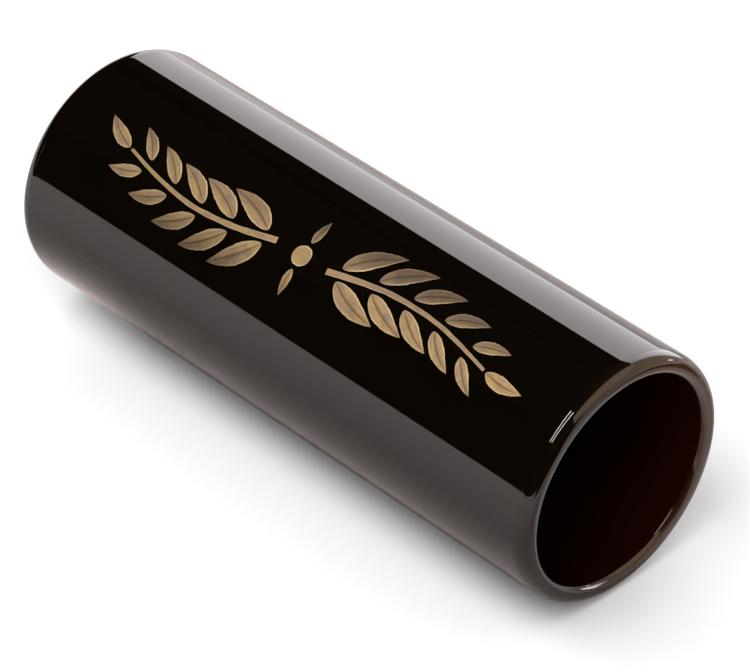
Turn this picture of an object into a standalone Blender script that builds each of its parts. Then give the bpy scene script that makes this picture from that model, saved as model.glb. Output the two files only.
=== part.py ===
"""Glass guitar slide: a fire-polished black glass tube with a fired gold sprig on its upper side.

The slide lies on its side along X, as it would on a table: the tube's axis is level, the near
open end is at +X, and the origin is on the table under the middle of the tube. Lengths are metres.
"""

from math import atan2, cos, hypot, pi, radians, sin, sqrt

import bmesh
import bpy

MM = 0.001

# The tube: a full-length slide with a 2 mm wall.
LENGTH = 69.0 * MM
OUTER_DIAMETER = 25.2 * MM
BORE_DIAMETER = 21.2 * MM
SIDES = 32

# The lips: flame-softened ends, rounded inside and out, with a narrow flat ground on the crown.
LIP_OUTER_DEPTH = 1.65 * MM
LIP_OUTER_DROP = 1.00 * MM
LIP_INNER_DEPTH = 0.82 * MM
CROWN_WIDTH = 0.20 * MM
LIP_STEPS = 6
SHARP_ANGLE = radians(40.0)

# The gold: a thin fired film that follows the glass, with a hairline of air under it.
FILM_GAP = 0.03 * MM
FILM_THICKNESS = 0.06 * MM
FILM_ACROSS = 2
PRINT_ANGLE = radians(124.0)

# The sprig: two matching branches that leave a small floret in the middle of the tube.
BRANCH_START = 3.3 * MM
BRANCH_END = 23.6 * MM
BRANCH_ARCH = 1.5 * MM
STEM_ROOT_WIDTH = 0.62 * MM
STEM_TIP_WIDTH = 0.30 * MM
STEM_ROWS = 28
STEM_STEP = 0.01
LEAF_PAIRS = 5
LEAF_ROWS = 9
LEAF_PLACE = 0.35
LEAF_ROOT_LENGTH = 6.2 * MM
LEAF_TIP_LENGTH = 3.9 * MM
LEAF_PLUMPNESS = 0.33
LEAF_BELLY = 0.75
LEAF_ROUNDNESS = 0.85
LEAF_SPREAD = radians(41.0)
LEAF_CURL = radians(-24.0)
LEAF_STALK_GAP = 0.42 * MM
LEAF_END_WIDTH = 0.14 * MM
TIP_LEAF_LENGTH = 4.4 * MM
TIP_LEAF_GAP = 0.35 * MM
BERRY_RADIUS = 1.05 * MM
BERRY_REACH = 0.95
BERRY_ROWS = 12
PETAL_LENGTH = 2.7 * MM
PETAL_START = 1.5 * MM

OUTER_RADIUS = OUTER_DIAMETER / 2
BORE_RADIUS = BORE_DIAMETER / 2
WALL = OUTER_RADIUS - BORE_RADIUS
AXIS_HEIGHT = OUTER_RADIUS * cos(pi / SIDES)

BLACK_GLASS = ("black_glass", (0.010, 0.006, 0.005), 0.04, 0.0)
FIRED_GOLD = ("fired_gold", (0.42, 0.26, 0.105), 0.38, 1.0)


def clear_scene():
    """Remove every object that the file opened with."""
    for item in list(bpy.data.objects):
        bpy.data.objects.remove(item, do_unlink=True)


def make_material(name, colour, roughness, metallic):
    """Return a Principled material of one colour."""
    material = bpy.data.materials.new(name)
    material.use_nodes = True
    shader = material.node_tree.nodes["Principled BSDF"]
    shader.inputs["Base Color"].default_value = (*colour, 1.0)
    shader.inputs["Roughness"].default_value = roughness
    shader.inputs["Metallic"].default_value = metallic
    return material


def add_object(name, bm, material, parent):
    """Turn a bmesh into a named, smooth-shaded object under the slide's empty."""
    bmesh.ops.recalc_face_normals(bm, faces=bm.faces)
    mesh = bpy.data.meshes.new(name)
    bm.to_mesh(mesh)
    bm.free()
    mesh.materials.append(material)
    mesh.shade_smooth()
    mesh.set_sharp_from_angle(angle=SHARP_ANGLE)
    piece = bpy.data.objects.new(name, mesh)
    bpy.context.collection.objects.link(piece)
    piece.parent = parent
    return piece


def lip_profile():
    """Return the near lip's (x, radius) points, from the outer wall over the crown to the bore."""
    end = LENGTH / 2
    inner_rise = WALL - LIP_OUTER_DROP - CROWN_WIDTH
    outer = []
    inner = []
    for step in range(LIP_STEPS + 1):
        turn = step / LIP_STEPS * pi / 2
        back = 1 - sin(turn)
        rise = 1 - cos(turn)
        outer.append((end - LIP_OUTER_DEPTH * back, OUTER_RADIUS - LIP_OUTER_DROP * rise))
        inner.append((end - LIP_INNER_DEPTH * back, BORE_RADIUS + inner_rise * rise))
    return outer + inner[::-1]


def make_tube(material, parent):
    """Turn the wall's section, with a rounded lip at each end, once round the X axis."""
    near = lip_profile()
    section = near + [(-x, radius) for x, radius in reversed(near)]
    # A flat of the polygon, not a corner, is underneath, so that the tube lies steady.
    start = -pi / 2 + pi / SIDES
    bm = bmesh.new()
    verts = [bm.verts.new((x, radius * cos(start), radius * sin(start))) for x, radius in section]
    edges = [bm.edges.new((a, b)) for a, b in zip(verts, verts[1:] + verts[:1])]
    bmesh.ops.spin(
        bm, geom=verts + edges, cent=(0, 0, 0), axis=(1, 0, 0), dvec=(0, 0, 0),
        angle=2 * pi, steps=SIDES, use_merge=True,
    )
    return add_object("glass_tube", bm, material, parent)


def wrap(along, around, height):
    """Return the point at a flat print position, wrapped round the tube at a height over the glass.

    The position is measured along the tube and around it, from the middle of the print; around is
    positive towards the top of the tube.
    """
    angle = PRINT_ANGLE - around / OUTER_RADIUS
    radius = OUTER_RADIUS + height
    return (along, radius * cos(angle), radius * sin(angle))


def make_stroke(name, spine, half_width, rows, material, parent):
    """Make one closed film from a stroke: a spine of flat points and a half width, both for t in 0..1."""
    step = 0.5 / rows
    grid = []
    for row in range(rows + 1):
        t = row / rows
        u, v = spine(t)
        before = spine(t - step)
        after = spine(t + step)
        length = hypot(after[0] - before[0], after[1] - before[1])
        normal = ((before[1] - after[1]) / length, (after[0] - before[0]) / length)
        reach = [half_width(t) * (2 * j / FILM_ACROSS - 1) for j in range(FILM_ACROSS + 1)]
        grid.append([(u + normal[0] * r, v + normal[1] * r) for r in reach])

    bm = bmesh.new()
    heights = (FILM_GAP, FILM_GAP + FILM_THICKNESS)
    lower, upper = ([[bm.verts.new(wrap(u, v, h)) for u, v in line] for line in grid] for h in heights)
    for layer in (lower, upper):
        for a, b in zip(layer, layer[1:]):
            for j in range(FILM_ACROSS):
                bm.faces.new((a[j], a[j + 1], b[j + 1], b[j]))
    rim_lower, rim_upper = (
        layer[0] + [line[-1] for line in layer[1:-1]] + layer[-1][::-1] + [line[0] for line in layer[-2:0:-1]]
        for layer in (lower, upper)
    )
    count = len(rim_lower)
    for i in range(count):
        k = (i + 1) % count
        bm.faces.new((rim_lower[i], rim_lower[k], rim_upper[k], rim_upper[i]))
    return add_object(name, bm, material, parent)


def leaf_half_width(length):
    """Return the half width of a leaf of one length: full below its middle, drawn out to a point."""
    full = LEAF_PLUMPNESS * length / 2

    def half_width(t):
        swell = sin(pi * t ** LEAF_BELLY) ** LEAF_ROUNDNESS if 0 < t < 1 else 0
        return max(full * swell, LEAF_END_WIDTH / 2)

    return half_width


def leaf_spine(base, heading, length, curl):
    """Return a leaf's spine: it leaves its base at a heading and turns by curl over its length."""

    def spine(t):
        turn = heading + curl * t / 2
        return (base[0] + length * t * cos(turn), base[1] + length * t * sin(turn))

    return spine


def stem_point(t, side):
    """Return a branch's stem at t in 0..1; side is +1 towards the near end and -1 towards the far."""
    along = BRANCH_START + (BRANCH_END - BRANCH_START) * t
    return (side * along, side * BRANCH_ARCH * sin(pi * t))


def stem_heading(t, side):
    """Return the direction in which a stem grows at t."""
    before = stem_point(t - STEM_STEP, side)
    after = stem_point(t + STEM_STEP, side)
    return atan2(after[1] - before[1], after[0] - before[0])


def make_branch(side, label, material, parent):
    """Make one branch: its stem, its pairs of leaves and the leaf at its tip."""
    make_stroke(
        f"gold_{label}_stem",
        lambda t: stem_point(t, side),
        lambda t: (STEM_ROOT_WIDTH + (STEM_TIP_WIDTH - STEM_ROOT_WIDTH) * t) / 2,
        STEM_ROWS, material, parent,
    )
    for pair in range(LEAF_PAIRS):
        place = (pair + LEAF_PLACE) / LEAF_PAIRS
        length = LEAF_ROOT_LENGTH + (LEAF_TIP_LENGTH - LEAF_ROOT_LENGTH) * pair / (LEAF_PAIRS - 1)
        for hand, hand_name in ((1, "upper"), (-1, "lower")):
            heading = stem_heading(place, side)
            root = stem_point(place, side)
            turn = hand * side
            clear = STEM_ROOT_WIDTH / 2 + LEAF_STALK_GAP
            base = (root[0] - turn * clear * sin(heading), root[1] + turn * clear * cos(heading))
            spine = leaf_spine(base, heading + turn * LEAF_SPREAD, length, turn * LEAF_CURL)
            name = f"gold_{label}_leaf_{pair + 1}_{hand_name}"
            make_stroke(name, spine, leaf_half_width(length), LEAF_ROWS, material, parent)

    heading = stem_heading(1.0, side)
    end = stem_point(1.0, side)
    base = (end[0] + TIP_LEAF_GAP * cos(heading), end[1] + TIP_LEAF_GAP * sin(heading))
    spine = leaf_spine(base, heading, TIP_LEAF_LENGTH, -side * LEAF_CURL)
    half_width = leaf_half_width(TIP_LEAF_LENGTH)
    make_stroke(f"gold_{label}_leaf_tip", spine, half_width, LEAF_ROWS, material, parent)


def make_floret(material, parent):
    """Make the floret between the branches: a round berry with a petal over it and one under it."""
    make_stroke(
        "gold_berry",
        lambda t: (BERRY_RADIUS * BERRY_REACH * (2 * t - 1), 0.0),
        lambda t: BERRY_RADIUS * sqrt(1 - (BERRY_REACH * (2 * t - 1)) ** 2),
        BERRY_ROWS, material, parent,
    )
    for hand, hand_name in ((1, "upper"), (-1, "lower")):
        spine = leaf_spine((0.0, hand * PETAL_START), hand * pi / 2, PETAL_LENGTH, 0.0)
        half_width = leaf_half_width(PETAL_LENGTH)
        make_stroke(f"gold_petal_{hand_name}", spine, half_width, LEAF_ROWS, material, parent)


def main():
    """Build the slide."""
    clear_scene()
    glass = make_material(*BLACK_GLASS)
    gold = make_material(*FIRED_GOLD)
    slide = bpy.data.objects.new("slide_axis", None)
    slide.location = (0, 0, AXIS_HEIGHT)
    bpy.context.collection.objects.link(slide)
    make_tube(glass, slide)
    make_floret(gold, slide)
    for side, label in ((-1, "far"), (1, "near")):
        make_branch(side, label, gold, slide)


main()
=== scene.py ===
"""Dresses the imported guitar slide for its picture.

The slide is a fire-polished tube of black glass that lies on a white sheet, with a fired gold sprig
on its upper side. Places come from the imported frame, and the remaining sizes are the named values in
the classes below: millimetres on the slide and metres in the studio.
"""

import logging
from dataclasses import dataclass
from enum import Enum
from random import Random
from typing import Iterator, Protocol, Sequence

import bpy
import numpy as np
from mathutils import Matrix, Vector


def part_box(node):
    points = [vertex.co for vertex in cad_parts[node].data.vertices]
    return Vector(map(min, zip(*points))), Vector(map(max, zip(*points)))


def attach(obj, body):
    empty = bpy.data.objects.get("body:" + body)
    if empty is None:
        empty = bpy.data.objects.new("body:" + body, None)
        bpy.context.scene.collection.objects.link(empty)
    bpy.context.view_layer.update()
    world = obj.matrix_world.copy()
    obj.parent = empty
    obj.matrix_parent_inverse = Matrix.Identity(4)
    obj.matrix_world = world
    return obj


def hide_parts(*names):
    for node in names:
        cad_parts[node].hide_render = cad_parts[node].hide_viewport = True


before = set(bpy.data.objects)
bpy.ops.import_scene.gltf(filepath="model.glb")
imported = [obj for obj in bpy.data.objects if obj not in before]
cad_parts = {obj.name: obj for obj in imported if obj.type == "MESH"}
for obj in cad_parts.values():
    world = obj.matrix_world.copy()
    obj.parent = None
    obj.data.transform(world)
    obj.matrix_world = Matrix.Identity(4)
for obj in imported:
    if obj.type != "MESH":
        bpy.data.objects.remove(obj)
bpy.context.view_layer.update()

MM = 0.001
PER_MM = 1.0 / MM
BODY = "root"
WHITE = (1.0, 1.0, 1.0, 1.0)

# The Mix node keeps one set of sockets for each kind of value: these are its colours.
MIX_FACTOR, MIX_A, MIX_B, MIX_RESULT = 0, 6, 7, 2

Tree = bpy.types.NodeTree
Socket = bpy.types.NodeSocket
Material = bpy.types.Material
Thing = bpy.types.Object
Colour = tuple[float, float, float, float]
Span = tuple[float, float]
Outline = tuple[Span, ...]
Corners = list[tuple[float, float, float]]

log = logging.getLogger("slide")


class Growth(Enum):
    """The sprig's two branches, each with the way along X in which it grows."""

    FAR = -1
    NEAR = 1


class Hand(Enum):
    """The side of a stem or of the floret that a leaf is on; upper is towards the tube's top."""

    UPPER = 1
    LOWER = -1


class Axis(Enum):
    """The way in which a lit face changes from one edge to the other."""

    ALONG = "X"
    UP = "Z"


def linear(code: str) -> Colour:
    """Turn an sRGB hex colour into the linear colour that shaders take.

    Args:
        code: A hash sign and six hex digits.

    Returns:
        Linear red, green and blue, with an alpha of 1.
    """
    shares = (int(code[i:i + 2], 16) / 255 for i in (1, 3, 5))
    return (*(s / 12.92 if s <= 0.04045 else ((s + 0.055) / 1.055) ** 2.4 for s in shares), 1.0)


def add_node(
    tree: Tree, kind: str, inputs: dict[str | int, object] | None = None, **settings: object,
) -> bpy.types.Node:
    """Add one shader node with its settings and links.

    Args:
        tree: The node tree to add to.
        kind: The node's type, without its ShaderNode prefix.
        inputs: A value, or the output socket that feeds it, for each input's name or number.
        settings: The node's own properties.

    Returns:
        The new node.
    """
    node = tree.nodes.new("ShaderNode" + kind)
    for name, value in settings.items():
        setattr(node, name, value)
    for key, value in (inputs or {}).items():
        if isinstance(value, Socket):
            tree.links.new(value, node.inputs[key])
        else:
            node.inputs[key].default_value = value
    return node


def calculate(tree: Tree, operation: str, first: Socket, second: Socket) -> Socket:
    """Return two numbers joined by one step of arithmetic."""
    return add_node(tree, "Math", {0: first, 1: second}, operation=operation).outputs[0]


def shift(tree: Tree, operation: str, first: Socket, second: Sequence[float]) -> Socket:
    """Return a point changed by a fixed vector."""
    return add_node(tree, "VectorMath", {0: first, 1: second}, operation=operation).outputs[0]


def scale(tree: Tree, value: Socket | Sequence[float], factor: float | Socket) -> Socket:
    """Return a point or a colour multiplied by one number."""
    return add_node(tree, "VectorMath", {0: value, "Scale": factor}, operation="SCALE").outputs[0]


def ramp(tree: Tree, value: Socket, span: Span, levels: Span, smooth: bool = False) -> Socket:
    """Map a number from one range to another, and hold it at the ends.

    Args:
        tree: The node tree to add to.
        value: The number.
        span: Where the ramp starts and stops.
        levels: What it gives there.
        smooth: Whether it eases in and out.

    Returns:
        The mapped number.
    """
    ends = {"From Min": span[0], "From Max": span[1], "To Min": levels[0], "To Max": levels[1]}
    ease = "SMOOTHSTEP" if smooth else "LINEAR"
    return add_node(tree, "MapRange", {"Value": value, **ends}, interpolation_type=ease).outputs[0]


def blend(tree: Tree, share: Socket, first: Socket | Colour, second: Socket | Colour) -> Socket:
    """Return two colours mixed by a share of the second."""
    inputs = {MIX_FACTOR: share, MIX_A: first, MIX_B: second}
    return add_node(tree, "Mix", inputs, data_type="RGBA").outputs[MIX_RESULT]


def noise(tree: Tree, place: Socket, size: float, detail: float = 2.0, roughness: float = 0.5) -> Socket:
    """Return soft lumps of a size in the points' units, with finer lumps over them."""
    inputs = {"Vector": place, "Scale": 1 / size, "Detail": detail, "Roughness": roughness}
    return add_node(tree, "TexNoise", inputs).outputs[0]


def streaks(tree: Tree, place: Socket, width: float, length: float, detail: float) -> Socket:
    """Return lumps that are drawn out along X, of a width and length in the points' units."""
    return noise(tree, shift(tree, "MULTIPLY", place, (width / length, 1.0, 1.0)), width, detail)


def relief(tree: Tree, height: Socket, rise_mm: float, under: Socket | None = None) -> Socket:
    """Raise a pattern over a surface.

    Args:
        tree: The node tree to add to.
        height: The pattern.
        rise_mm: How high it stands where it is 1.
        under: Relief that it lies on, if there is any.

    Returns:
        The surface's normal.
    """
    inputs = {"Height": height, "Strength": 1.0, "Distance": rise_mm * MM}
    if under is not None:
        inputs["Normal"] = under
    return add_node(tree, "Bump", inputs).outputs[0]


def own_place(tree: Tree) -> Socket:
    """Return a surface's points in the row frame, in metres."""
    return add_node(tree, "TexCoord").outputs["Object"]


def own_place_mm(tree: Tree) -> Socket:
    """Return a surface's points in the row frame, in millimetres."""
    return scale(tree, own_place(tree), PER_MM)


def stored(tree: Tree, name: str, output: str = "Fac") -> Socket:
    """Return what a piece stores at its vertices under a name."""
    return add_node(tree, "Attribute", attribute_name=name).outputs[output]


def seen_ray(tree: Tree) -> Socket:
    """Find the rays that show a surface, rather than carry its light.

    Args:
        tree: The node tree to add to.

    Returns:
        A number that is 1 for camera, glossy and transmission rays, and 0 for the rest.
    """
    path = add_node(tree, "LightPath").outputs
    first = calculate(tree, "MAXIMUM", path["Is Camera Ray"], path["Is Glossy Ray"])
    return calculate(tree, "MAXIMUM", first, path["Is Transmission Ray"])


def reach_from_line(tree: Tree, place: Socket, half_length: float, aside: float = 0.0) -> Socket:
    """Measure the distance of floor points from a line along X.

    Args:
        tree: The node tree to add to.
        place: The points.
        half_length: How far the line runs to each side of the origin.
        aside: The line's place along Y.

    Returns:
        The distance in metres.
    """
    beside = shift(tree, "SUBTRACT", place, (0.0, aside, 0.0))
    folded = add_node(tree, "VectorMath", {0: beside}, operation="ABSOLUTE").outputs[0]
    past = shift(tree, "SUBTRACT", folded, (half_length, 0.0, 0.0))
    clear = shift(tree, "MAXIMUM", past, (0.0, 0.0, 0.0))
    return add_node(tree, "VectorMath", {0: clear}, operation="LENGTH").outputs["Value"]


def new_material(name: str) -> tuple[Material, Tree]:
    """Make a node material with nothing in it.

    Args:
        name: The material's name.

    Returns:
        The material and its empty node tree.
    """
    material = bpy.data.materials.new(name)
    material.use_nodes = True
    material.node_tree.nodes.clear()
    return material, material.node_tree


def new_mesh(name: str, points: np.ndarray, faces: Sequence[Sequence[int]]) -> Thing:
    """Make a smooth-shaded mesh object, in the row frame.

    Args:
        name: The object's name.
        points: One row of x, y and z in metres for each vertex.
        faces: The vertex numbers of each face, anticlockwise as seen from outside.

    Returns:
        The object, linked into the scene.
    """
    mesh = bpy.data.meshes.new(name)
    mesh.from_pydata(points.tolist(), [], faces)
    mesh.shade_smooth()
    piece = bpy.data.objects.new(name, mesh)
    bpy.context.scene.collection.objects.link(piece)
    return piece


def loop_faces(rows: int, around: int, closed: bool) -> list[tuple[int, ...]]:
    """Join rows of vertices, each a closed loop, by a skin of quads.

    Args:
        rows: How many loops there are.
        around: How many vertices each one has.
        closed: Whether the last loop joins on to the first.

    Returns:
        The vertex numbers of each face.
    """
    faces = []
    for row in range(rows if closed else rows - 1):
        here, ahead = row * around, (row + 1) % rows * around
        for k in range(around):
            turn = (k + 1) % around
            faces.append((here + k, ahead + k, ahead + turn, here + turn))
    return faces


def set_attribute(piece: Thing, name: str, values: np.ndarray) -> None:
    """Store a number, or three, at each vertex of a piece, for its material to read.

    Args:
        piece: The mesh object.
        name: The attribute's name.
        values: One number, or one row of three numbers, for each vertex.
    """
    kind, key = ("FLOAT", "value") if values.ndim == 1 else ("FLOAT_VECTOR", "vector")
    attribute = piece.data.attributes.new(name, kind, "POINT")
    attribute.data.foreach_set(key, values.astype(np.float32).ravel())


def install(piece: Thing, node: str, slot: str, material: Material) -> None:
    """Put a finished piece in the place of its CAD node.

    Args:
        piece: The mesh object.
        node: The CAD node that it stands for.
        slot: The record's material slot; not used.
        material: The finish.
    """
    piece.data.materials.append(material)
    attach(piece, BODY)
    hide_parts(node)
    log.info("%s: %d faces, stands for %s", piece.name, len(piece.data.polygons), node)


class Finish(Protocol):
    """What a surface is made of."""

    def make(self) -> Material:
        """Build the material."""


@dataclass(frozen=True)
class BlackGlass:
    """Black borosilicate glass, drawn as tube and fire-polished at its ends.

    The flame leaves a skin as smooth as liquid, so the eye gets sharp reflections and almost no colour.
    The glass is a very deep red-brown in truth, and the light that comes through it is painted into its
    colour: the bore is painted dull red where light gets in, most of all low down, and the thin lips are
    painted brown, most of all on their far side. Draw lines along the tube bend the reflections a little, and
    handling leaves faint smudges and some dust.
    """

    body: str = "#080502"
    # The bore and lip colours are a painted glow of the light that comes through the glass.
    bore: str = "#240603"
    lip: str = "#422C1D"
    tone_mm: float = 9.0
    tone_detail: float = 3.0
    tone_spread: float = 0.3
    ior: float = 1.474
    polish: float = 0.015
    smudge: float = 0.045
    smudge_mm: float = 6.0
    smudge_detail: float = 6.0
    smudge_breakup: float = 0.6
    smudge_span: Span = (0.45, 0.8)
    draw_line_mm: float = 2.6
    draw_line_length_mm: float = 45.0
    draw_line_height_mm: float = 0.002
    dust: str = "#57514A"
    dust_spacing_mm: float = 2.4
    dust_mm: float = 0.045
    dust_free: float = 0.55

    def make(self) -> Material:
        """Build the material.

        Returns:
            The node material.
        """
        material, tree = new_material("black_glass_fire_polished")
        mm = own_place_mm(tree)

        # Black wall, with the bore's dull red and the lip's brown painted in as light that comes through the
        # glass, each a little cloudy.
        wall = blend(tree, stored(tree, "bore_share"), linear(self.body), linear(self.bore))
        lipped = blend(tree, stored(tree, "lip_share"), wall, linear(self.lip))
        cloud = noise(tree, mm, self.tone_mm, self.tone_detail)
        tone = ramp(tree, cloud, (0.0, 1.0), (1 - self.tone_spread, 1 + self.tone_spread))
        clouded = scale(tree, lipped, tone)

        # Dust: a speck in some of the cells of a coarse net.
        cells = add_node(tree, "TexVoronoi", {"Vector": mm, "Scale": 1 / self.dust_spacing_mm}).outputs
        chance = add_node(tree, "SeparateXYZ", {0: cells["Color"]}).outputs[0]
        reach = ramp(tree, chance, (self.dust_free, 1.0), (0.0, self.dust_mm / self.dust_spacing_mm))
        speck = calculate(tree, "LESS_THAN", cells["Distance"], reach)
        dusted = blend(tree, speck, clouded, linear(self.dust))

        # Smudges dull the polish in soft patches.
        patches = noise(tree, mm, self.smudge_mm, self.smudge_detail, self.smudge_breakup)
        dulled = ramp(tree, patches, self.smudge_span, (self.polish, self.smudge))

        lines = streaks(tree, mm, self.draw_line_mm, self.draw_line_length_mm, detail=1.0)
        drawn = relief(tree, lines, self.draw_line_height_mm)
        shader = add_node(
            tree, "BsdfPrincipled",
            {"Base Color": dusted, "Roughness": dulled, "IOR": self.ior, "Normal": drawn},
        )
        add_node(tree, "OutputMaterial", {"Surface": shader.outputs[0]})
        return material


@dataclass(frozen=True)
class FiredGold:
    """Bright gold lustre, brushed on and fired.

    The metal is thin and lies on the glass in brush streaks, so it is satin rather than mirror. Its colour is
    painted greyer towards the top of the tube, as painted shade, and brighter along each edge, where the
    paint gathers in a bead and a painted highlight is added. Along the middle of the print the colour is
    full, and above and below it is painted darker: a painted sheen band that stands in for where the gold
    mirrors the light.
    """

    full: str = "#D4B279"
    thin: str = "#A6917F"
    # The bead colour is brighter than the full gold: a painted highlight along each edge.
    bead: str = "#F8E2AA"
    vein: str = "#7A633F"
    metallic: float = 0.75
    roughness: float = 0.55
    roughness_spread: float = 0.16
    rough_cover: Span = (0.7, 1.3)
    mottle_mm: float = 1.3
    mottle_detail: float = 4.0
    mottle_breakup: float = 0.6
    cover_span: Span = (0.75, 1.2)
    # Painted shade: greyer towards the top of the tube, and a painted sheen band that is darker above and
    # below the middle of the print.
    top_shade_mm: Span = (23.2, 25.0)
    top_shade: float = 0.22
    sheen_low_mm: Span = (19.0, 22.4)
    sheen_low_share: float = 0.34
    sheen_high_mm: Span = (23.4, 24.8)
    sheen_high_share: float = 0.46
    streak_mm: float = 0.16
    streak_length_mm: float = 2.6
    streak_height_mm: float = 0.0035
    grain_mm: float = 0.09
    grain_height_mm: float = 0.0016

    def make(self) -> Material:
        """Build the material.

        Returns:
            The node material.
        """
        material, tree = new_material("gold_lustre_fired")
        mm = own_place_mm(tree)
        height = add_node(tree, "SeparateXYZ", {0: mm}).outputs["Z"]
        stroke = stored(tree, "stroke_mm", "Vector")

        # How much gold there is: mottled and streaked by the brush, and less towards the top of the tube,
        # which is painted shade.
        mottle = noise(tree, mm, self.mottle_mm, self.mottle_detail, self.mottle_breakup)
        brushed = streaks(tree, stroke, self.streak_mm, self.streak_length_mm, detail=2.0)
        laid = calculate(tree, "ADD", mottle, brushed)
        cover = calculate(tree, "SUBTRACT", laid, ramp(tree, height, self.top_shade_mm, (0.0, self.top_shade)))

        # Colour: thin to full by the cover, then the vein, the bead with its painted highlight, and the
        # painted sheen band that is darker above and below the middle of the print.
        thick = ramp(tree, cover, self.cover_span, (0.0, 1.0))
        film = blend(tree, thick, linear(self.thin), linear(self.full))
        veined = blend(tree, stored(tree, "vein_share"), film, linear(self.vein))
        bead_highlighted = blend(tree, stored(tree, "edge_share"), veined, linear(self.bead))
        above = ramp(tree, height, self.sheen_low_mm, (self.sheen_low_share, 1.0), smooth=True)
        below = ramp(tree, height, self.sheen_high_mm, (1.0, self.sheen_high_share), smooth=True)
        sheen_shaded = scale(tree, bead_highlighted, calculate(tree, "MULTIPLY", above, below))

        # Fired lustre has a finer grain than this: it is drawn about a pixel wide, so that it shows.
        grain = noise(tree, mm, self.grain_mm, detail=1.0)
        combed = relief(tree, brushed, self.streak_height_mm)
        grained = relief(tree, grain, self.grain_height_mm, combed)
        half = self.roughness_spread / 2
        rough = ramp(tree, cover, self.rough_cover, (self.roughness + half, self.roughness - half))
        shader = add_node(
            tree, "BsdfPrincipled",
            {"Base Color": sheen_shaded, "Metallic": self.metallic, "Roughness": rough, "Normal": grained},
        )
        add_node(tree, "OutputMaterial", {"Surface": shader.outputs[0]})
        return material


@dataclass(frozen=True)
class Patch:
    """A soft round patch of painted light on the floor."""

    x: float
    y: float
    radius: float
    strength: float

    def glow(self, tree: Tree, place: Socket) -> Socket:
        """Spread the patch's light.

        Args:
            tree: The node tree to add to.
            place: The floor's points.

        Returns:
            The light's strength, which fades to nothing at the radius.
        """
        middle = {0: place, 1: (self.x, self.y, 0.0)}
        off = add_node(tree, "VectorMath", middle, operation="DISTANCE").outputs["Value"]
        return ramp(tree, off, (0.0, self.radius), (self.strength, 0.0), smooth=True)


@dataclass(frozen=True)
class SeamlessPaper:
    """White seamless paper, matt, which the camera and the gloss see as a lit white sweep.

    It glows for camera, glossy and transmission rays, more the further it is from the tube, so that it is
    white far off and keeps the tube's shadow near it. Two pools of painted light brighten that shadow past
    both ends of the tube.
    """

    colour: str = "#FBFBFB"
    roughness: float = 0.9
    fibre_mm: float = 1.5
    fibre_tone: float = 0.02
    sweep_glow: float = 0.30
    sweep_span: Span = (0.03, 0.13)
    tube_half_length: float = 0.0345
    # Painted light: two pools that brighten the tube's shadow past its ends.
    painted_pools: tuple[Patch, ...] = (Patch(0.036, 0.010, 0.014, 0.125), Patch(-0.032, -0.009, 0.012, 0.12))

    def make(self) -> Material:
        """Build the material.

        Returns:
            The node material.
        """
        material, tree = new_material("seamless_paper_white")
        place = own_place(tree)
        fibre = noise(tree, scale(tree, place, PER_MM), self.fibre_mm)
        tone = ramp(tree, fibre, (0.0, 1.0), (1 - self.fibre_tone, 1.0))
        sheet = scale(tree, linear(self.colour)[:3], tone)
        away = reach_from_line(tree, place, self.tube_half_length)
        glow = ramp(tree, away, self.sweep_span, (0.0, self.sweep_glow), smooth=True)
        for pool in self.painted_pools:
            glow = calculate(tree, "ADD", glow, pool.glow(tree, place))
        seen = calculate(tree, "MULTIPLY", seen_ray(tree), glow)
        shader = add_node(
            tree, "BsdfPrincipled",
            {"Base Color": sheet, "Roughness": self.roughness,
             "Emission Color": WHITE, "Emission Strength": seen},
        )
        add_node(tree, "OutputMaterial", {"Surface": shader.outputs[0]})
        return material


@dataclass(frozen=True)
class LitCloth:
    """White cloth or paint with light on it, even or changing from one edge to the other.

    It shines from its front only, with a radiance of 1 as white.
    """

    first: float
    last: float | None = None
    span: Span = (0.0, 0.19)
    axis: Axis = Axis.UP
    colour: str = "#FFF7F8"

    def make(self) -> Material:
        """Build the material.

        Returns:
            The node material.
        """
        material, tree = new_material("softbox_cloth_lit")
        power = self.first
        if self.last is not None:
            way = add_node(tree, "SeparateXYZ", {0: own_place(tree)}).outputs[self.axis.value]
            power = ramp(tree, way, self.span, (self.first, self.last))
        behind = add_node(tree, "NewGeometry").outputs["Backfacing"]
        shine = add_node(tree, "Emission", {"Color": linear(self.colour), "Strength": power}).outputs[0]
        back = add_node(tree, "BsdfTransparent").outputs[0]
        face = add_node(tree, "MixShader", {0: behind, 1: shine, 2: back}).outputs[0]
        add_node(tree, "OutputMaterial", {"Surface": face})
        return material


@dataclass(frozen=True)
class ShadeSheet:
    """Warm grey sheet over the paper, seen by gloss alone: painted shade, which darkens what the gloss
    mirrors of the paper near a line along X.
    """

    tint: str = "#D7CAC7"
    far_tint: str = "#FFF3F0"
    aside: float = 0.025
    half_length: float = 0.0345
    fade: Span = (0.045, 0.070)

    def make(self) -> Material:
        """Build the material.

        Returns:
            The node material, which only tints what is seen through it.
        """
        material, tree = new_material("gel_warm_grey")
        away = reach_from_line(tree, own_place(tree), self.half_length, self.aside)
        share = ramp(tree, away, self.fade, (0.0, 1.0), smooth=True)
        tone = blend(tree, share, linear(self.tint), linear(self.far_tint))
        sheet = add_node(tree, "BsdfTransparent", {"Color": tone}).outputs[0]
        add_node(tree, "OutputMaterial", {"Surface": sheet})
        return material


@dataclass(frozen=True)
class LightSpill:
    """Warm painted light spilt on the paper, which gloss sees on top of the paper itself."""

    patch: Patch
    colour: str = "#FFEDE9"

    def make(self) -> Material:
        """Build the material.

        Returns:
            The node material, clear but for its glow.
        """
        material, tree = new_material("light_spill_warm")
        power = self.patch.glow(tree, own_place(tree))
        shine = add_node(tree, "Emission", {"Color": linear(self.colour), "Strength": power}).outputs[0]
        clear = add_node(tree, "BsdfTransparent").outputs[0]
        both = add_node(tree, "AddShader", {0: clear, 1: shine}).outputs[0]
        add_node(tree, "OutputMaterial", {"Surface": both})
        return material


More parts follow.
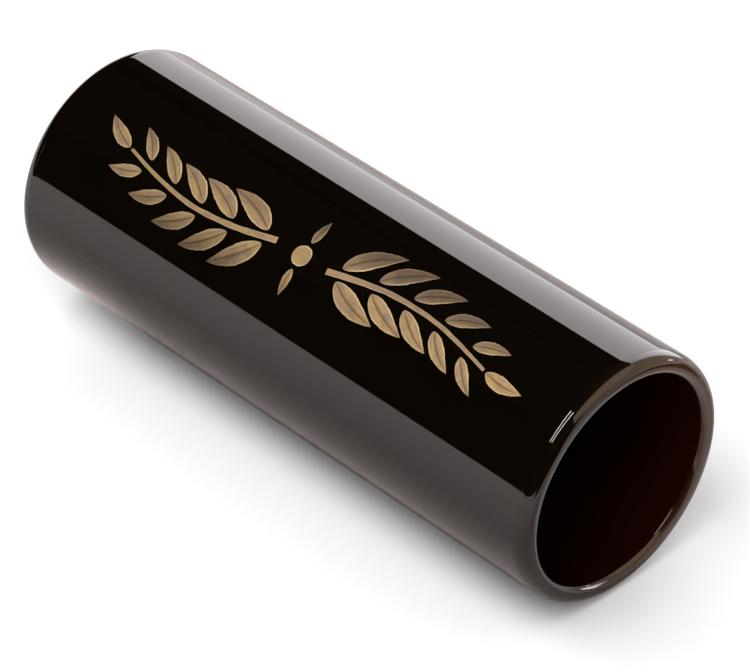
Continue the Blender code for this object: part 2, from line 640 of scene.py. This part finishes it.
@dataclass(frozen=True)
class BlackFlock:
    """Black flocked card, which gives gloss a dark room to mirror, with a trace of warm light on it."""

    dark: float
    light: float
    spill: str = "#FFDCA8"
    patch: float = 0.9
    patch_span: Span = (0.35, 0.65)

    def make(self) -> Material:
        """Build the material.

        Returns:
            The node material.
        """
        material, tree = new_material("black_flock_card")
        patches = noise(tree, own_place(tree), self.patch, detail=0.0)
        power = ramp(tree, patches, self.patch_span, (self.dark, self.light))
        shine = add_node(tree, "Emission", {"Color": linear(self.spill), "Strength": power}).outputs[0]
        add_node(tree, "OutputMaterial", {"Surface": shine})
        return material


@dataclass
class GlassTube:
    """The tube: a drawn wall with a flame-rounded lip at each end.

    Its length, radii and axis come from the CAD node. The lips' depths are those of the CAD profile.
    """

    node: str = "glass_tube"
    slot: str = "black_glass"
    lip_outer_depth_mm: float = 1.65
    lip_outer_drop_mm: float = 1.00
    lip_inner_depth_mm: float = 0.82
    crown_mm: float = 0.20
    lip_steps: int = 20
    wall_steps: int = 46
    segments: int = 288
    ripple_mm: float = 0.006
    ripple_waves: int = 3
    ripple_rate: float = 1.3
    ripple_fade: int = 6
    bore_light_mm: float = 22.0
    bore_light_fade: float = 1.5
    bore_light: Span = (0.55, 0.45)
    bore_light_turn: float = 30.0
    lip_light: Span = (0.45, 0.75)
    lip_light_least: float = 0.04

    def __post_init__(self) -> None:
        """Measure the CAD node."""
        low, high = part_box(self.node)
        points = np.array([v.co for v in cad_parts[self.node].data.vertices])
        self.half_length = (high.x - low.x) / 2
        self.axis_height = (high.z + low.z) / 2
        reach = np.hypot(points[:, 1], points[:, 2] - self.axis_height)
        self.outer_radius = float(reach.max())
        self.bore_radius = float(reach.min())

    def section(self) -> np.ndarray:
        """Trace the wall's closed section once round.

        Returns:
            Rows of x, radius, and the shares of the bore's and the lip's painted glow, from the near outer
            wall over the near lip, back through the bore, over the far lip and along the outside again. The
            bore's painted glow fades with depth, where less light gets in.
        """
        turns = np.linspace(0, np.pi / 2, self.lip_steps + 1)
        outer_drop = self.lip_outer_drop_mm * MM
        inner_rise = self.outer_radius - self.bore_radius - outer_drop - self.crown_mm * MM
        outer_x = self.half_length - self.lip_outer_depth_mm * MM * (1 - np.sin(turns))
        outer_r = self.outer_radius - outer_drop * (1 - np.cos(turns))
        inner_x = self.half_length - self.lip_inner_depth_mm * MM * (1 - np.sin(turns))
        inner_r = self.bore_radius + inner_rise * (1 - np.cos(turns))
        lip_x = np.concatenate([outer_x, inner_x[::-1]])
        lip_r = np.concatenate([outer_r, inner_r[::-1]])
        lip_bore = np.concatenate([np.zeros_like(turns), np.cos(turns[::-1])])
        lip_edge = np.concatenate([np.sin(turns) ** 2, 1 - lip_bore[len(turns):] ** 2])

        bore_x = np.linspace(inner_x[0], -inner_x[0], self.wall_steps + 1)[1:-1]
        wall_x = np.linspace(-outer_x[0], outer_x[0], self.wall_steps + 1)[1:-1]
        inside, outside = np.full_like(bore_x, self.bore_radius), np.full_like(wall_x, self.outer_radius)
        depth = inner_x[0] - np.abs(bore_x)
        lit = np.clip(1 - depth / (self.bore_light_mm * MM), 0, 1) ** self.bore_light_fade
        x = np.concatenate([lip_x, bore_x, -lip_x[::-1], wall_x])
        radius = np.concatenate([lip_r, inside, lip_r[::-1], outside])
        bore = np.concatenate([lip_bore, lit, lip_bore[::-1], np.zeros_like(wall_x)])
        lip = np.concatenate([lip_edge, np.zeros_like(bore_x), lip_edge[::-1], np.zeros_like(wall_x)])
        return np.stack([x, radius, bore, lip], axis=1)

    def ripple(self, x: np.ndarray, angle: np.ndarray) -> np.ndarray:
        """Give the drawn wall its few micrometres of unevenness.

        Args:
            x: Places along the tube.
            angle: Places round it.

        Returns:
            Height over the true radius, fading to nothing at the lips.
        """
        clear = self.half_length - self.lip_outer_depth_mm * MM
        fade = np.clip(1 - (np.abs(x) / clear) ** self.ripple_fade, 0, 1)
        wave = np.zeros(np.broadcast(x, angle).shape)
        # The count also sets where each wave starts, so that they don't meet in one place.
        for count in range(1, self.ripple_waves + 1):
            phase = x / self.half_length * np.pi * (self.ripple_rate + count) + count
            wave = wave + np.sin(phase) * np.cos(count * angle + 2 * count) / count
        return self.ripple_mm * MM * fade * wave

    def build(self) -> Thing:
        """Turn the section once round the axis.

        Returns:
            The tube's mesh object.
        """
        x, radius, bore, lip = self.section().T
        angle = np.arange(self.segments) * 2 * np.pi / self.segments
        grid_x = np.repeat(x[:, None], self.segments, axis=1)
        grid_r = radius[:, None] + self.ripple(grid_x, angle[None, :])
        grid_z = grid_r * np.sin(angle) + self.axis_height
        points = np.stack([grid_x, grid_r * np.cos(angle), grid_z], axis=2).reshape(-1, 3)
        tube = new_mesh("tube_glass", points, loop_faces(len(x), self.segments, closed=True))

        # Painted light: the bore's red and the lip's brown are painted brightest low in the bore and on the
        # lip's far side, where the light from behind gets furthest into the glass.
        mean, swing = self.bore_light
        bore_glow = (mean + swing * np.cos(angle + np.radians(self.bore_light_turn))) ** 2
        mean, swing = self.lip_light
        lip_glow = np.clip(mean + swing * np.cos(angle), self.lip_light_least, 1)
        set_attribute(tube, "bore_share", np.outer(bore, bore_glow).ravel())
        set_attribute(tube, "lip_share", np.outer(lip, lip_glow).ravel())
        return tube

    def dress(self, tube: Thing, finish: BlackGlass) -> None:
        """Give the tube its glass and put it in its node's place."""
        install(tube, self.node, self.slot, finish.make())


@dataclass
class BrushStroke:
    """One island of gold: a spine on the flat print, its heading and its half width along it."""

    node: str
    spine: np.ndarray
    heading: np.ndarray
    half_width: np.ndarray
    veined: bool


@dataclass
class GoldSprig:
    """The sprig: two leafy branches that grow from a floret, wrapped round the upper side of the tube.

    The print is laid out flat, in millimetres along the tube and around it, as the CAD film is. Each
    stroke is cut across at `cuts`, which run from its edge, at 1, to near its middle.
    """

    tube: GlassTube
    slot: str = "fired_gold"
    print_angle: float = 124.0
    branch_start_mm: float = 3.3
    branch_end_mm: float = 23.6
    branch_arch_mm: float = 1.5
    stem_root_mm: float = 0.62
    stem_tip_mm: float = 0.30
    leaf_pairs: int = 5
    leaf_place: float = 0.35
    leaf_root_mm: float = 6.2
    leaf_tip_mm: float = 3.9
    leaf_plumpness: float = 0.33
    leaf_belly: float = 0.75
    leaf_roundness: float = 0.85
    leaf_spread: float = 41.0
    leaf_curl: float = -24.0
    leaf_stalk_gap_mm: float = 0.42
    end_width_mm: float = 0.12
    tip_leaf_mm: float = 4.4
    tip_leaf_gap_mm: float = 0.35
    berry_radius_mm: float = 1.05
    petal_mm: float = 2.7
    petal_start_mm: float = 1.5
    rows: int = 36
    cuts: tuple[float, ...] = (1.0, 0.97, 0.93, 0.88, 0.80, 0.62, 0.38, 0.20, 0.10)
    film_mm: float = 0.030
    film_base_mm: float = 0.003
    end_rows: int = 3
    end_height: float = 0.15
    bead_rise: float = 0.40
    bead_width: float = 0.22
    vein_width: float = 0.12
    vein_depth: float = 0.55
    ragged_mm: float = 0.055
    ragged_waves: tuple[Span, ...] = ((0.4, 3.0), (0.35, 8.0), (0.25, 17.0))
    brush_lot: float = 50.0

    def places(self) -> np.ndarray:
        """Return the shares of a stroke's length at which it is cut, closer together at its ends."""
        return (1 - np.cos(np.linspace(0, np.pi, self.rows + 1))) / 2

    def across(self) -> np.ndarray:
        """Return the places across a stroke at which it is cut, from -1 at one edge to 1 at the other."""
        return np.concatenate([-np.array(self.cuts), [0.0], self.cuts[::-1]])

    def stem_at(self, t: np.ndarray, growth: Growth) -> np.ndarray:
        """Return points of a branch's stem, along and around, for shares of its length."""
        along = self.branch_start_mm + (self.branch_end_mm - self.branch_start_mm) * t
        return growth.value * np.stack([along, self.branch_arch_mm * np.sin(np.pi * t)], axis=-1)

    def stem_heading(self, t: np.ndarray, growth: Growth) -> np.ndarray:
        """Return the direction in which a stem grows, for shares of its length."""
        rise = self.branch_arch_mm * np.pi * np.cos(np.pi * t)
        run = np.full_like(rise, self.branch_end_mm - self.branch_start_mm)
        return np.arctan2(growth.value * rise, growth.value * run)

    def leaf(self, node: str, base: np.ndarray, heading: float, length: float, curl: float) -> BrushStroke:
        """Shape a leaf, full below its middle and drawn out to a point.

        Args:
            node: The CAD node that the leaf stands for.
            base: Where it starts, along and around.
            heading: The direction in which it starts.
            length: Its length in millimetres.
            curl: How far it turns from its base to its tip.

        Returns:
            The leaf's stroke.
        """
        t = self.places()
        turn = heading + curl * t / 2
        ray = np.stack([np.cos(turn), np.sin(turn)], axis=1)
        side = np.stack([-np.sin(turn), np.cos(turn)], axis=1)
        tangent = ray + side * (curl * t / 2)[:, None]
        full = self.leaf_plumpness * length / 2
        swell = np.sin(np.pi * np.clip(t, 0, 1) ** self.leaf_belly).clip(0) ** self.leaf_roundness
        return BrushStroke(
            node, base + length * t[:, None] * ray, np.arctan2(tangent[:, 1], tangent[:, 0]),
            np.maximum(full * swell, self.end_width_mm / 2), True,
        )

    def branch(self, growth: Growth) -> Iterator[BrushStroke]:
        """Shape one branch: its stem, its pairs of leaves and the leaf at its tip.

        Args:
            growth: Which branch.

        Yields:
            The branch's strokes.
        """
        t = self.places()
        label = f"gold_{growth.name.lower()}"
        width = self.stem_root_mm + (self.stem_tip_mm - self.stem_root_mm) * t
        yield BrushStroke(
            f"{label}_stem", self.stem_at(t, growth), self.stem_heading(t, growth), width / 2, False,
        )
        clear = self.stem_root_mm / 2 + self.leaf_stalk_gap_mm
        for pair in range(self.leaf_pairs):
            share = np.array((pair + self.leaf_place) / self.leaf_pairs)
            heading = float(self.stem_heading(share, growth))
            length = np.interp(pair, (0, self.leaf_pairs - 1), (self.leaf_root_mm, self.leaf_tip_mm))
            for hand in Hand:
                turn = hand.value * growth.value
                off = turn * clear * np.array([-np.sin(heading), np.cos(heading)])
                yield self.leaf(
                    f"{label}_leaf_{pair + 1}_{hand.name.lower()}", self.stem_at(share, growth) + off,
                    heading + turn * np.radians(self.leaf_spread), length, turn * np.radians(self.leaf_curl),
                )
        end = np.array(1.0)
        heading = float(self.stem_heading(end, growth))
        base = self.stem_at(end, growth) + self.tip_leaf_gap_mm * np.array([np.cos(heading), np.sin(heading)])
        curl = -growth.value * np.radians(self.leaf_curl)
        yield self.leaf(f"{label}_leaf_tip", base, heading, self.tip_leaf_mm, curl)

    def floret(self) -> Iterator[BrushStroke]:
        """Shape the round berry between the branches, and the petals over and under it.

        Yields:
            The floret's strokes.
        """
        reach = self.berry_radius_mm * (2 * self.places() - 1)
        half = np.sqrt(np.maximum(self.berry_radius_mm ** 2 - reach ** 2, 0))
        yield BrushStroke(
            "gold_berry", np.stack([reach, np.zeros_like(reach)], axis=1), np.zeros_like(reach),
            np.maximum(half, self.end_width_mm / 2), False,
        )
        for hand in Hand:
            base = np.array([0.0, hand.value * self.petal_start_mm])
            node = f"gold_petal_{hand.name.lower()}"
            yield self.leaf(node, base, hand.value * np.pi / 2, self.petal_mm, 0.0)

    def ragged(self, t: np.ndarray, seed: str) -> np.ndarray:
        """Return how far the brush strays at one edge of a stroke, in millimetres."""
        dice = Random(seed)
        return self.ragged_mm * sum(
            share * np.sin(2 * np.pi * (rate * (t + dice.random()) + dice.random()))
            for share, rate in self.ragged_waves
        )

    def spread(self, stroke: BrushStroke) -> np.ndarray:
        """Spread a stroke's cuts out from its spine.

        Args:
            stroke: The stroke.

        Returns:
            How far each cut is from the spine in millimetres, a row for each place along it. The edges
            are ragged, but not at the stroke's ends.
        """
        t, across = self.places(), self.across()
        slim = np.clip(np.sin(np.pi * t), 0, 1)
        left, right = (
            stroke.half_width + slim * self.ragged(t, stroke.node + edge) for edge in ("left", "right")
        )
        return across * np.where(across < 0, left[:, None], right[:, None])

    def film_height(self, veined: bool) -> np.ndarray:
        """Shape the film across a stroke: a skirt, a bead along each edge and perhaps a vein.

        Args:
            veined: Whether the brush left a vein down the middle.

        Returns:
            The film's height at each cut, as a share of its usual height.
        """
        across = self.across()
        inward, third = 1 - np.abs(across), self.bead_width / 3
        skirt = np.sqrt(np.clip(inward / third, 0, 1))
        bead = self.bead_rise * np.exp(-((inward - self.bead_width / 2) / third) ** 2)
        vein = self.vein_depth * self.vein_share() if veined else 0.0
        return skirt * (1 + bead - vein)

    def vein_share(self) -> np.ndarray:
        """Return how much of the vein there is at each cut across a stroke."""
        return np.exp(-(self.across() / self.vein_width) ** 2)

    def wrap(self, flat: np.ndarray, height: np.ndarray) -> np.ndarray:
        """Wrap flat print points round the glass.

        Args:
            flat: Points along the tube and around it, in millimetres; around is positive upwards.
            height: Their heights over the glass, in millimetres.

        Returns:
            The points in the row frame, in metres.
        """
        angle = np.radians(self.print_angle) - flat[..., 1] * MM / self.tube.outer_radius
        radius = self.tube.outer_radius + height * MM
        upright = radius * np.sin(angle) + self.tube.axis_height
        return np.stack([flat[..., 0] * MM, radius * np.cos(angle), upright], axis=-1)

    def shell(self, rows: int, width: int) -> list[tuple[int, ...]]:
        """Close a film's loops into a shell.

        Args:
            rows: How many loops there are.
            width: How many vertices of each loop are on top; as many are underneath.

        Returns:
            The vertex numbers of each face, with a cap of quads at both ends.
        """
        around = 2 * width
        faces = loop_faces(rows, around, closed=False)
        for start, flip in ((0, False), ((rows - 1) * around, True)):
            for k in range(width - 1):
                cap = (start + k, start + k + 1, start + around - 2 - k, start + around - 1 - k)
                faces.append(cap[::-1] if flip else cap)
        return faces

    def build_stroke(self, stroke: BrushStroke) -> Thing:
        """Lay a stroke's film on the glass.

        Args:
            stroke: The stroke's shape on the flat print.

        Returns:
            Its closed mesh object.
        """
        t, across, aside = self.places(), self.across(), self.spread(stroke)
        normal = np.stack([-np.sin(stroke.heading), np.cos(stroke.heading)], axis=1)
        flat = stroke.spine[:, None, :] + aside[:, :, None] * normal[:, None, :]
        run_in = np.clip(np.minimum(t, 1 - t) * self.rows / self.end_rows, self.end_height, 1)
        height = self.film_mm * run_in[:, None] * self.film_height(stroke.veined)[None, :]
        top = self.wrap(flat, self.film_base_mm + height)
        base = self.wrap(flat, np.full_like(height, self.film_base_mm))

        # Each row is a loop: over the film from one edge to the other, and back under it.
        loops = np.concatenate([top, base[:, ::-1]], axis=1)
        name = stroke.node.replace("gold", "film", 1)
        piece = new_mesh(name, loops.reshape(-1, 3), self.shell(len(t), len(across)))

        # What the gold reads: the place on the stroke, from a lot of its own, the bead that carries a painted
        # highlight, and the vein.
        length = np.concatenate([[0.0], np.cumsum(np.hypot(*np.diff(stroke.spine, axis=0).T))])
        along = np.broadcast_to(length[:, None], aside.shape)
        lot = np.full_like(aside, Random(stroke.node).uniform(0, self.brush_lot))
        edge = np.clip(1 - (1 - np.abs(across)) / self.bead_width, 0, 1)
        stores = {
            "stroke_mm": np.stack([along, aside, lot], axis=2),
            "edge_share": np.broadcast_to(edge, aside.shape),
            "vein_share": np.broadcast_to(self.vein_share() * stroke.veined, aside.shape),
        }
        for key, values in stores.items():
            both = np.concatenate([values, values[:, ::-1]], axis=1)
            set_attribute(piece, key, both.reshape(-1, *both.shape[2:]))
        return piece

    def build(self) -> dict[str, Thing]:
        """Lay every stroke of the sprig.

        Returns:
            The strokes' mesh objects, by CAD node.
        """
        parts = (self.floret(), self.branch(Growth.FAR), self.branch(Growth.NEAR))
        return {stroke.node: self.build_stroke(stroke) for part in parts for stroke in part}

    def dress(self, pieces: dict[str, Thing], finish: FiredGold) -> None:
        """Gild the strokes and put each in its node's place.

        Args:
            pieces: The strokes' mesh objects, by CAD node.
            finish: The gold.
        """
        material = finish.make()
        for node, piece in pieces.items():
            install(piece, node, self.slot, material)


@dataclass(frozen=True)
class Card:
    """A card in the studio: its face, and its corners in order round it, anticlockwise from the front."""

    name: str
    face: Finish
    corners: Corners

    def hang(self, material: Material) -> None:
        """Hang the card where gloss alone sees it.

        Args:
            material: What its face makes.
        """
        card = new_mesh(self.name, np.array(self.corners), [tuple(range(len(self.corners)))])
        card.data.materials.append(material)
        card.visible_camera = False
        card.visible_diffuse = False
        card.visible_transmission = False
        card.visible_shadow = False
        log.info("card %s", self.name)


def level(outline: Outline, height: float) -> Corners:
    """Return the corners of a card that is level at a height."""
    return [(x, y, height) for x, y in outline]


def standing(foot: Outline, heights: Span, base: float = 0.0) -> Corners:
    """Return the corners of a card that stands over a line on the floor, with a height at each end."""
    (x0, y0), (x1, y1) = foot
    return [(x0, y0, base), (x1, y1, base), (x1, y1, heights[1]), (x0, y0, heights[0])]


@dataclass(frozen=True)
class Lamp:
    """A flat lamp that shines down and that gloss doesn't mirror; a radiance of 1 is white."""

    name: str
    low: Span
    high: Span
    height: float
    radiance: float

    def hang(self) -> None:
        """Hang the lamp level over the scene."""
        data = bpy.data.lights.new(self.name, "AREA")
        data.shape = "RECTANGLE"
        data.size, data.size_y = self.high[0] - self.low[0], self.high[1] - self.low[1]
        data.energy = self.radiance * np.pi * data.size * data.size_y
        lamp = bpy.data.objects.new(self.name, data)
        lamp.location = ((self.low[0] + self.high[0]) / 2, (self.low[1] + self.high[1]) / 2, self.height)
        lamp.visible_camera = False
        lamp.visible_glossy = False
        bpy.context.scene.collection.objects.link(lamp)
        log.info("lamp %s, %.2f W", self.name, data.energy)


WARM_WHITE = "#FFDBBE"


@dataclass
class Studio:
    """The white sweep and the lamps, with the room that the gloss mirrors.

    Places are metres in the row frame. Every card is seen by gloss alone, so that the floor, the light
    on the slide and the camera's background stay plain.
    """

    tube: GlassTube
    paper: SeamlessPaper = SeamlessPaper()
    floor_reach: float = 3.0
    world_light: float = 0.62
    lamps: tuple[Lamp, ...] = (
        Lamp("key", (-1.50, -0.41), (1.20, -0.07), 0.58, 1.65),
        Lamp("fill", (-0.20, -0.60), (0.22, -0.14), 0.56, 2.6),
    )

    # The softbox behind the tube, with a bright sill and a brighter end.
    softbox_foot: Outline = ((-0.325, 0.253), (-0.061, 0.187))
    softbox_heights: Span = (0.1775, 0.206)
    softbox: LitCloth = LitCloth(2.45, 3.5)
    sill_foot: Outline = ((-0.325, 0.252), (-0.061, 0.186))
    sill_height: float = 0.020
    sill: LitCloth = LitCloth(3.0, 2.56, span=(0.0, 0.020))
    end_foot: Outline = ((-0.061, 0.187), (0.010, 0.171))
    end_heights: Span = (0.206, 0.190)
    end: LitCloth = LitCloth(4.6, 3.7)

    # The black cards: overhead, round the room and on its floor.
    top: float = 0.60
    flock: BlackFlock = BlackFlock(0.015, 0.035)
    deep_flock: BlackFlock = BlackFlock(0.0, 0.006)
    ceiling: Outline = (
        (-1.8, -1.2), (1.2, -1.2), (1.2, -0.22), (0.246, -0.22), (0.07, 0.30), (0.034, 0.56),
        (-0.577, 0.753), (-0.726, 0.798), (-0.903, 0.873), (-1.8, 1.25),
    )
    left_screen: Outline = ((-0.75, -0.583), (-0.08, -0.2475))
    front_screen: Outline = ((-0.42, -0.80), (0.75, -0.80))
    right_screen: Outline = ((0.75, -0.80), (0.75, -0.04))
    far_screen: Outline = ((-0.331, 0.255), (-0.95, 0.50), (-0.95, -0.70))
    near_floor: Outline = ((0.115, -0.10), (0.74, -0.79), (0.74, 0.0), (0.16, 0.0))
    far_floor: Outline = (
        (-0.94, -0.15), (-0.94, -0.60), (-0.75, -0.583), (-0.30, -0.335), (-0.135, -0.10), (-0.135, -0.075),
    )
    corner_floor: Outline = (
        (0.050, 0.0285), (0.110, 0.0285), (0.150, 0.130), (0.066, 0.100), (0.054, 0.045),
    )

    # The warm end of the room: the cloth overhead and the wall.
    overhead: Outline = (
        (0.246, -0.22), (0.07, 0.30), (0.034, 0.56), (0.034, 0.60), (1.2, 0.60), (1.2, -0.22),
    )
    overhead_cloth: LitCloth = LitCloth(2.0, colour=WARM_WHITE)
    wall: Outline = ((0.05, 0.75), (0.75, 0.75), (0.75, -0.04))
    wall_paint: LitCloth = LitCloth(1.25, colour=WARM_WHITE)

    # Small bright things: two strip lamps, a bounce card low behind the near end and a spot.
    strip_x: tuple[float, ...] = (0.072, -0.051)
    strip_y: Span = (-0.55, -0.17)
    strip_width: float = 0.018
    strip_height: float = 0.55
    strip: LitCloth = LitCloth(36.0)
    bounce_outline: Outline = ((0.052, 0.040), (0.135, 0.257), (0.211, 0.213), (0.065, 0.033))
    bounce_height: float = 0.022
    bounce: LitCloth = LitCloth(4.0, 18.0, span=(0.058, 0.120), axis=Axis.ALONG)
    spot_foot: Outline = ((0.048, 0.079), (0.056, 0.077))
    spot_base: float = 0.027
    spot_top: float = 0.033
    spot: LitCloth = LitCloth(10.0)

    # What lies on the paper: sheets of painted shade that gloss sees, and over them an apron and a spill of
    # painted light.
    contact_lift: float = 0.0002
    shade_lift: float = 0.0004
    over_lift: float = 0.0006
    shade_outline: Outline = (
        (-0.50, -0.40), (0.15, -0.40), (0.15, 0.0), (0.036, 0.0), (0.036, 0.13), (-0.15, 0.13),
    )
    gel: ShadeSheet = ShadeSheet()
    contact_shade: ShadeSheet = ShadeSheet("#CBC4C2", "#FFFFFF", aside=0.0, half_length=0.025, fade=(0.0080, 0.0092))
    corner_outline: Outline = (
        (0.041, 0.020), (0.075, 0.020), (0.130, 0.120), (0.150, 0.260), (0.060, 0.260), (0.045, 0.080),
    )
    corner_shade: ShadeSheet = ShadeSheet("#C7B6AF", "#FFFFFF", aside=0.095, half_length=0.065, fade=(0.045, 0.14))
    # The apron is painted light on the paper in front of the softbox, seen by gloss alone.
    apron_outline: Outline = (
        (-0.28, 0.240), (-0.13, 0.085), (0.02, 0.085), (0.010, 0.170), (-0.061, 0.186),
    )
    apron: LitCloth = LitCloth(1.7, 0.75, span=(-0.13, -0.03), axis=Axis.ALONG)
    spill_outline: Outline = ((-0.047, -0.023), (-0.017, -0.023), (-0.017, 0.0), (-0.047, 0.0))
    spill: LightSpill = LightSpill(Patch(-0.0325, -0.0085, 0.013, 0.38))

    def floor(self) -> None:
        """Lay the paper under the tube."""
        height = self.tube.axis_height - self.tube.outer_radius
        reach = self.floor_reach
        outline = ((-reach, -reach), (reach, -reach), (reach, reach), (-reach, reach))
        sheet = new_mesh("floor_paper", np.array(level(outline, height)), [(0, 1, 2, 3)])
        sheet.data.materials.append(self.paper.make())
        log.info("floor at %.5f m", height)

    def softbox_cards(self) -> Iterator[Card]:
        """Stand the softbox behind the tube.

        Yields:
            Its three faces.
        """
        yield Card("softbox_back", self.softbox, standing(self.softbox_foot, self.softbox_heights))
        sill_heights = (self.sill_height, self.sill_height)
        yield Card("softbox_sill", self.sill, standing(self.sill_foot, sill_heights))
        yield Card("softbox_end", self.end, standing(self.end_foot, self.end_heights))

    def room_cards(self) -> Iterator[Card]:
        """Close the room with black cards, and its near end with warm cloth and a wall.

        Yields:
            The room's sides, ceiling and black floors.
        """
        yield Card("card_ceiling", self.flock, level(self.ceiling, self.top))
        yield Card("overhead_cloth", self.overhead_cloth, level(self.overhead, self.top))
        for name, face, feet in (
            ("card_left", self.deep_flock, self.left_screen),
            ("card_front", self.deep_flock, self.front_screen),
            ("card_right", self.deep_flock, self.right_screen),
            ("card_far", self.deep_flock, self.far_screen),
            ("wall", self.wall_paint, self.wall),
        ):
            for number, foot in enumerate(zip(feet, feet[1:]), 1):
                yield Card(f"{name}_{number}", face, standing(foot, (self.top, self.top)))
        floors = {"near": self.near_floor, "far": self.far_floor, "corner": self.corner_floor}
        for name, outline in floors.items():
            yield Card(f"card_floor_{name}", self.deep_flock, level(outline, self.over_lift))

    def bright_cards(self) -> Iterator[Card]:
        """Hang the small bright things that the lips and the wall mirror as highlights.

        Yields:
            The strips, the bounce card and the spot.
        """
        half, (front, back) = self.strip_width / 2, self.strip_y
        for number, x in enumerate(self.strip_x, 1):
            outline = ((x - half, front), (x - half, back), (x + half, back), (x + half, front))
            yield Card(f"strip_{number}", self.strip, level(outline, self.strip_height))
        yield Card("bounce_card", self.bounce, level(self.bounce_outline, self.bounce_height))
        spot_tops = (self.spot_top, self.spot_top)
        yield Card("spot", self.spot, standing(self.spot_foot, spot_tops, self.spot_base))

    def paper_cards(self) -> Iterator[Card]:
        """Lay out what lies on the paper.

        Yields:
            The sheets of painted shade, the apron and the spill of painted light.
        """
        yield Card("gel_contact", self.contact_shade, level(self.shade_outline, self.contact_lift))
        yield Card("gel", self.gel, level(self.shade_outline, self.shade_lift))
        yield Card("gel_corner", self.corner_shade, level(self.corner_outline, self.shade_lift))
        yield Card("apron", self.apron, level(self.apron_outline, self.over_lift))
        yield Card("spill", self.spill, level(self.spill_outline, self.over_lift))

    def cards(self) -> None:
        """Hang every card, with one material for each kind of face."""
        made: dict[Finish, Material] = {}
        for group in (self.softbox_cards(), self.room_cards(), self.bright_cards(), self.paper_cards()):
            for card in group:
                if card.face not in made:
                    made[card.face] = card.face.make()
                card.hang(made[card.face])

    def sky(self) -> None:
        """Surround the scene with white, which lights it softly."""
        world = bpy.data.worlds.new("white_sweep")
        world.use_nodes = True
        tree = world.node_tree
        tree.nodes.clear()
        strength = ramp(tree, seen_ray(tree), (0.0, 1.0), (self.world_light, 1.0))
        sky = add_node(tree, "Background", {"Color": WHITE, "Strength": strength})
        add_node(tree, "OutputWorld", {"Surface": sky.outputs[0]})
        bpy.context.scene.world = world

    def build(self) -> None:
        """Set up the whole studio."""
        self.floor()
        self.cards()
        for lamp in self.lamps:
            lamp.hang()
        self.sky()


@dataclass
class PictureCamera:
    """The camera, turned and raised as the photographer's was."""

    tube: GlassTube
    azimuth: float = 46.255
    elevation: float = 37.500
    distance_mm: float = 388.91
    aim_right_mm: float = 1.625
    aim_down_mm: float = 2.029
    lens_mm: float = 198.50
    sensor_mm: float = 36.0
    clip_start: float = 0.01

    def build(self) -> None:
        """Place the camera and make it the scene's own."""
        turn, rise = np.radians([self.azimuth, self.elevation])
        back = Vector((np.sin(turn) * np.cos(rise), -np.cos(turn) * np.cos(rise), np.sin(rise)))
        right = Vector((np.cos(turn), np.sin(turn), 0.0))
        down = right.cross(back)
        middle = Vector((0.0, 0.0, self.tube.axis_height))
        aim = middle + MM * (self.aim_right_mm * right + self.aim_down_mm * down)

        data = bpy.data.cameras.new("picture_camera")
        data.lens = self.lens_mm
        data.sensor_width = self.sensor_mm
        data.sensor_fit = "HORIZONTAL"
        data.clip_start = self.clip_start
        camera = bpy.data.objects.new("picture_camera", data)
        camera.location = aim + self.distance_mm * MM * back
        camera.rotation_euler = (-back).to_track_quat("-Z", "Y").to_euler()
        bpy.context.scene.collection.objects.link(camera)
        bpy.context.scene.camera = camera
        log.info("camera at %s", tuple(round(c, 4) for c in camera.location))


def main() -> None:
    """Build the slide and its studio, and note the sizes."""
    logging.basicConfig(level=logging.INFO, format="%(name)s: %(message)s")
    bpy.context.scene.view_settings.view_transform = "Standard"
    tube = GlassTube()
    sprig = GoldSprig(tube)
    PictureCamera(tube).build()
    tube.dress(tube.build(), BlackGlass())
    sprig.dress(sprig.build(), FiredGold())
    Studio(tube).build()


if __name__ == "__main__":
    main()
